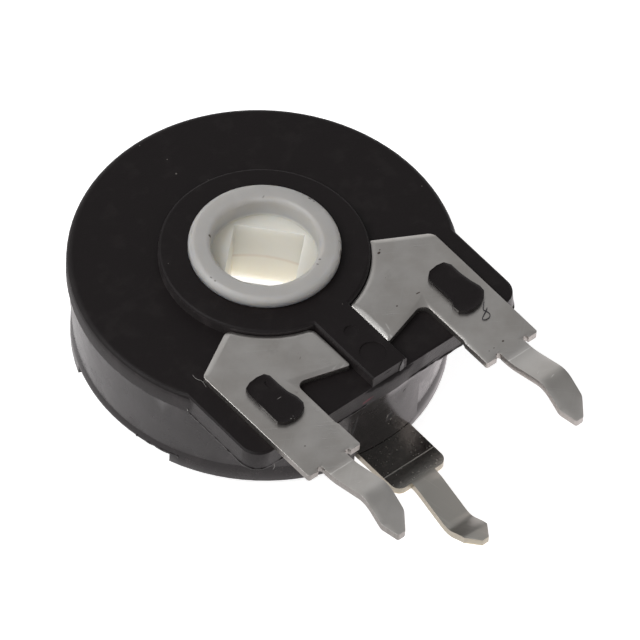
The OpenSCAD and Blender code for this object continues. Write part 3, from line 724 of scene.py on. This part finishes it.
def follow(path, y):
    """The height of a path of straight runs, (y, z) in falling y, at one y."""
    for (y_a, z_a), (y_b, z_b) in zip(path, path[1:]):
        if y >= y_b:
            return z_a + (z_b - z_a) * (y - y_a) / (y_b - y_a)
    return path[-1][1]


def pin_rise(path, y, reach):
    """The same height with its bends rounded over a reach to both sides."""
    if y > path[0][0] - reach:
        return path[0][1]
    samples = [follow(path, y + reach * part / 8) for part in range(-8, 9)]
    return sum(samples) / len(samples)


def cut_across(lines):
    """Cuts the whole mesh in edit mode across the pins, at each y in millimetres."""
    for y in lines:
        bpy.ops.mesh.select_all(action="SELECT")
        bpy.ops.mesh.bisect(plane_co=(0, y * MM, 0), plane_no=(0, 1, 0))


def cut_out(piece, cutter):
    """Takes a cutter out of a piece with an applied Boolean modifier, and deletes the cutter."""
    take(piece)
    modifier = piece.modifiers.new("cut", "BOOLEAN")
    modifier.operation = "DIFFERENCE"
    modifier.object = cutter
    bpy.ops.object.modifier_apply(modifier=modifier.name)
    bpy.data.objects.remove(cutter)


def give_cut_faces(piece, material):
    """Gives the faces that stand across the sheet a second material."""
    piece.data.materials.append(material)
    for face in piece.data.polygons:
        if abs(face.normal.z) < 0.6:
            face.material_index = 1


slot_half = (0.42, 1.1)
relief_r = 0.13
relief_place = (0.77, -10.62)
wing_edge_x = 1.15
wing_bend = 0.03


def is_corner(edge, x, y):
    """Whether an edge stands across the sheet at one corner of the outline, in millimetres."""
    a, b = (vertex.co for vertex in edge.verts)
    near = all(abs(end.x - x * MM) < 0.08 * MM and abs(end.y - y * MM) < 0.06 * MM for end in (a, b))
    return near and abs(a.z - b.z) > 0.2 * MM


def on_wing_edge(vertex):
    """Whether a vertex lies on the rolled edge of the right plate's wing."""
    return vertex.co.x < wing_edge_x * MM and vertex.co.z < -0.01 * MM


for side, flip in (("left", -1), ("right", 1)):
    sheet = fill_outline(side + "_sheet", [(flip * x, y) for x, y in plate_outline])
    thicken(sheet, (0, 0, -sheet_t * MM))
    pick(sheet, "FACE", lambda face: face.normal.z > 0.999)
    bpy.ops.mesh.inset(thickness=edge_roll * MM, depth=0)
    kept = {tuple(vertex.co) for vertex in bmesh.from_edit_mesh(sheet.data).verts if vertex.select}
    pick(sheet, "VERT", lambda vertex: vertex.co.z > -0.01 * MM and tuple(vertex.co) not in kept
         and vertex.co.y > -10.6 * MM)
    bpy.ops.transform.translate(value=(0, 0, -roll_drop * MM))
    if side == "right":
        pick(sheet, "VERT", on_wing_edge)
        bpy.ops.mesh.subdivide(number_cuts=4)
        pick(sheet, "VERT", on_wing_edge)
        bpy.ops.transform.translate(value=(-wing_bend * MM, 0, -wing_bend * MM))
        bpy.ops.transform.vertex_random(offset=0.004 * MM, uniform=0.6, normal=0, seed=3)
    for (x, y), (left_radius, right_radius) in corner_radii.items():
        radius = left_radius if side == "left" else right_radius
        pick(sheet, "EDGE", lambda edge: is_corner(edge, flip * x, y))
        bpy.ops.mesh.bevel(offset_type="OFFSET", offset=radius * MM, segments=6, affect="EDGES")
    cut_across(bend_lines)
    pick(sheet, "VERT", lambda vertex: vertex.co.y < bend_lines[0] * MM)
    for vertex in bmesh.from_edit_mesh(sheet.data).verts:
        if vertex.select:
            vertex.co.z += pin_rise(pin_path, vertex.co.y / MM, pin_reach) * MM
    bpy.ops.object.mode_set(mode="OBJECT")
    bpy.ops.object.select_all(action="DESELECT")
    bpy.ops.mesh.primitive_cube_add(size=1, location=(flip * stem_x * MM, head_middle[1] * MM, -sheet_t * MM / 2),
                                    scale=(2 * slot_half[0] * MM, 2 * slot_half[1] * MM, 2 * sheet_t * MM))
    cut_out(sheet, bpy.context.object)
    for edge_x in (-1, 1):
        bpy.ops.object.select_all(action="DESELECT")
        bpy.ops.mesh.primitive_cylinder_add(vertices=20, radius=relief_r * MM, depth=2 * sheet_t * MM,
                                            location=((flip * stem_x + edge_x * relief_place[0]) * MM,
                                                      relief_place[1] * MM, 0))
        cut_out(sheet, bpy.context.object)
    break_edges(sheet, 0.018)
    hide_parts(side + "_terminal")
    seat(sheet, tin, "housing_body")
    give_cut_faces(sheet, cut_tin)

# Collector terminal
# One stamping of bright tinned brass: a ring around the bearing, and a leg that is bent down behind the pillar
# and out over the board. Its cut edges show the brass.
bright_base = (0.62, 0.6, 0.56)
crease_y = -10.0
pin_root_y = -10.75
bright_tin, tree, shader, place = new_material("bright_tin", bright_base, 0.14, metallic=1.0)
cloud = add_noise(tree, place, 0.8, detail=5)
lines = add_group(tree, scratches, place, Turn=1.2, Across_per_mm=10)
apart = split(tree, place)
on_pin = add_range(tree, apart["Y"], (pin_root_y + 0.1) * MM, (pin_root_y - 0.3) * MM)
dust = add_group(tree, specks, place, Per_mm=8.0, Share=0.3, Radius=0.4)
crumbs = add_group(tree, specks, place, Per_mm=1.6, Share=0.2, Radius=0.09)
dust = add_math(tree, "MAXIMUM", add_math(tree, "MULTIPLY", dust.outputs["Mask"], 0.3), crumbs.outputs["Mask"])
dust = add_math(tree, "MULTIPLY", dust, add_math(tree, "SUBTRACT", 1.0, on_pin))
wobble = add_math(tree, "MULTIPLY", add_math(tree, "SUBTRACT", add_noise(tree, place, 1.5), 0.5), 0.08 * MM)
offset = add_math(tree, "ADD", add_math(tree, "SUBTRACT", apart["Y"], crease_y * MM), wobble)
crease = add_range(tree, add_math(tree, "ABSOLUTE", offset), 0.035 * MM, 0.01 * MM)
colour = add_mix(tree, lines.outputs["Mask"], bright_base, (0.7, 0.68, 0.64))
colour = add_mix(tree, dust, colour, (0.85, 0.82, 0.74))
tree.links.new(colour, shader.inputs["Base Color"])
finish = add_math(tree, "ADD", 0.1, add_math(tree, "MULTIPLY", cloud, 0.14))
finish = add_math(tree, "ADD", finish, add_math(tree, "MULTIPLY", dust, 0.6))
finish = add_math(tree, "ADD", finish, add_math(tree, "MULTIPLY", on_pin, 0.24))
tree.links.new(add_math(tree, "ADD", finish, add_math(tree, "MULTIPLY", crease, 0.3)), shader.inputs["Roughness"])
relief = add_math(tree, "ADD", cloud, add_math(tree, "MULTIPLY", crease, 0.6))
add_bump(tree, shader, relief, 0.015, 0.6)

cut_brass, tree, shader, place = new_material("cut_brass", (0.55, 0.5, 0.39), 0.35, metallic=1.0)
facing = split(tree, tree.nodes.new("ShaderNodeNewGeometry").outputs["Normal"])
smear = add_mix(tree, add_noise(tree, place, 5), (0.31, 0.29, 0.235), (0.44, 0.415, 0.34))
tree.links.new(add_mix(tree, add_range(tree, facing["Z"], -0.04, -0.2), smear, (0.7, 0.6, 0.38)),
               shader.inputs["Base Color"])
add_bump(tree, shader, add_noise(tree, place, 9), 0.012, 0.5)
leg = copy_node("collector_terminal", "collector_sheet")
set_material(leg, bright_tin)
leg.data.materials.append(cut_brass)
for face in leg.data.polygons:
    if abs(face.normal.x) > 0.8 or (face.center.y < crease_y * MM and abs(face.normal.z) < 0.3):
        face.material_index = 1
break_edges(leg, 0.09, segments=3)
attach(leg, "housing_body")

# Fibres
# Three stray textile fibres that lie loose on the part: a dark one curled on the right plate, and two pale ones
# by the left plate's outer corner.
fibre_dark, tree, shader, place = new_material("fibre_dark", (0.02, 0.018, 0.025), 0.6)
tree.links.new(add_mix(tree, add_noise(tree, place, 4), (0.01, 0.009, 0.014), (0.04, 0.036, 0.045)),
               shader.inputs["Base Color"])
fibre_pale, tree, shader, place = new_material("fibre_pale", (0.3, 0.29, 0.28), 0.6)
tree.links.new(add_mix(tree, add_noise(tree, place, 4), (0.2, 0.19, 0.18), (0.4, 0.39, 0.37)),
               shader.inputs["Base Color"])
fibres = {
    "fibre_loop": (fibre_dark, 0.018, [(5.62, -8.03, 0.1), (5.32, -8.28, 0.03), (5.4, -8.39, 0.02), (5.45, -8.65, 0.02),
                                       (5.28, -8.79, 0.03), (5.05, -8.79, 0.04), (4.95, -8.66, 0.03),
                                       (5.17, -8.53, 0.02), (5.36, -8.44, 0.06), (5.54, -8.33, 0.05)]),
    "fibre_by_plate": (fibre_pale, 0.009, [(-6.59, -3.15, -0.34), (-6.64, -3.3, -0.33), (-6.58, -3.5, -0.33),
                                           (-6.46, -3.67, -0.33), (-6.57, -4.0, -0.34)]),
    "fibre_on_block": (fibre_pale, 0.014, [(-7.38, -3.45, -0.5), (-7.42, -3.6, -0.66), (-7.5, -3.75, -0.85),
                                           (-7.54, -3.88, -1.0), (-7.58, -4.05, -1.15)]),
}
for name, (material, thickness, points) in fibres.items():
    bpy.ops.object.select_all(action="DESELECT")
    bpy.ops.curve.primitive_nurbs_path_add()
    fibre = bpy.context.object
    fibre.name = name
    strand = fibre.data.splines[0]
    strand.points.add(len(points) - len(strand.points))
    for point, place in zip(strand.points, points):
        point.co = (*(Vector(place) * MM), 1)
    strand.order_u = 3
    strand.use_endpoint_u = True
    fibre.data.bevel_depth = thickness * MM
    fibre.data.bevel_resolution = 2
    fibre.data.use_fill_caps = True
    bpy.ops.object.convert(target="MESH")
    seat(fibre, material, "housing_body")

# Inner pieces
# The laminate base with its printed carbon track and silver pads, and the bronze wiper, lie inside the cup, out
# of sight. They keep the shapes of the CAD model.
inner_finishes = {
    "element_base": ((0.2, 0.09, 0.035), 0.6, 0.0),
    "carbon_track": ((0.01, 0.01, 0.011), 0.5, 0.0),
    "end_pads": ((0.6, 0.6, 0.61), 0.4, 1.0),
    "wiper_contact": ((0.55, 0.3, 0.13), 0.3, 1.0),
}
for name, (base, roughness, metallic) in inner_finishes.items():
    finish, tree, shader, place = new_material(name + "_finish", base, roughness, metallic)
    flecks = add_range(tree, add_noise(tree, place, 3, detail=5), 0.4, 0.7)
    darker = tuple(part * 0.75 for part in base)
    tree.links.new(add_mix(tree, flecks, base, darker), shader.inputs["Base Color"])
    add_bump(tree, shader, add_noise(tree, place, 6), 0.005, 0.4)
    set_material(nodes[name], finish)

# Stage
# A pale floor under the feet, which the camera sees as white apart from the object's shadow. What is glossy
# mirrors it with a slight warmth, and darker on the left, where the light falls off.
floor_size = 3.0
floor_glow = 0.8
mirrored_glow = (0.35, 1.05)
falloff_x = (-10, 5)
mirrored_tint = (0.97, 0.9, 0.915)
bpy.ops.mesh.primitive_plane_add(size=floor_size, location=(0, 0, cad_box[0][2]))
floor = bpy.context.object
floor.name = "floor"
floor_white, tree, shader, place = new_material("floor_white", (0.8, 0.8, 0.8), 0.9)
paths = tree.nodes.new("ShaderNodeLightPath")
seen = add_math(tree, "MAXIMUM", paths.outputs["Is Camera Ray"], paths.outputs["Is Transmission Ray"])
tree.links.new(add_mix(tree, paths.outputs["Is Glossy Ray"], (1, 1, 1), mirrored_tint),
               shader.inputs["Emission Color"])
apart = split(tree, place)
mirrored = add_range(tree, apart["X"], falloff_x[0] * MM, falloff_x[1] * MM, *mirrored_glow)
mirrored = add_math(tree, "MULTIPLY", paths.outputs["Is Glossy Ray"], mirrored)
tree.links.new(add_math(tree, "ADD", add_math(tree, "MULTIPLY", seen, floor_glow), mirrored),
               shader.inputs["Emission Strength"])
set_material(floor, floor_white)

# Light
# A wide soft box high on the left behind, a weaker one in front, a pale panel behind on the right that the tin
# mirrors, and the lit paper that shines up through the bore.
room_level = 0.25
horizon_rise = (0.03, 0.35)
panel_level = 0.6
panel_cosines = (0.84, 0.97)
back_panel = (0.43, 0.81, 0.4)
fill_level = 0.27
world = bpy.data.worlds.new("studio")
bpy.context.scene.world = world
world.use_nodes = True
tree = world.node_tree
sky = tree.nodes["Background"]
paths = tree.nodes.new("ShaderNodeLightPath")
open_view = add_math(tree, "MAXIMUM", paths.outputs["Is Camera Ray"], paths.outputs["Is Transmission Ray"])
heading = tree.nodes.new("ShaderNodeTexCoord").outputs["Generated"]
apart = split(tree, heading)
horizon = add_range(tree, apart["Z"], *horizon_rise, 1.0, room_level)
towards = tree.nodes.new("ShaderNodeVectorMath")
towards.operation = "DOT_PRODUCT"
towards.inputs[1].default_value = back_panel
tree.links.new(heading, towards.inputs[0])
panel = add_range(tree, towards.outputs["Value"], *panel_cosines, 0.0, panel_level)
mirrored = add_math(tree, "MULTIPLY", paths.outputs["Is Glossy Ray"], add_math(tree, "MAXIMUM", horizon, panel))
seen = add_math(tree, "MAXIMUM", open_view, paths.outputs["Is Glossy Ray"])
fill = add_math(tree, "MULTIPLY", add_math(tree, "SUBTRACT", 1.0, seen), fill_level)
level = add_math(tree, "ADD", add_math(tree, "ADD", open_view, mirrored), fill)
tree.links.new(level, sky.inputs["Strength"])
sky.inputs["Color"].default_value = (1, 1, 1, 1)

soft_box_size = 0.5
soft_boxes = {
    "soft_box_left": ((-0.45, 0.25, 0.6), 3.9),
    "soft_box_front": ((-0.35, -0.6, 0.45), 1.2),
}
for name, (place, power) in soft_boxes.items():
    bpy.ops.object.light_add(type="AREA", location=place)
    lamp = bpy.context.object
    lamp.name = name
    lamp.data.size = soft_box_size
    lamp.data.energy = power
    lamp.rotation_euler = (-Vector(place)).to_track_quat("-Z", "Y").to_euler()

under_size = 5.8 * MM
under_level = 1.35
bpy.ops.object.light_add(type="AREA", location=(0, 0, cad_box[0][2] + 0.03 * MM), rotation=(math.pi, 0, 0))
lamp = bpy.context.object
lamp.name = "glow_under_bore"
lamp.data.shape = "DISK"
lamp.data.size = under_size

# The disk's power in watts, from its level and its area
lamp.data.energy = under_level * math.pi * math.pi * under_size ** 2 / 4

bpy.context.scene.view_settings.view_transform = "Standard"
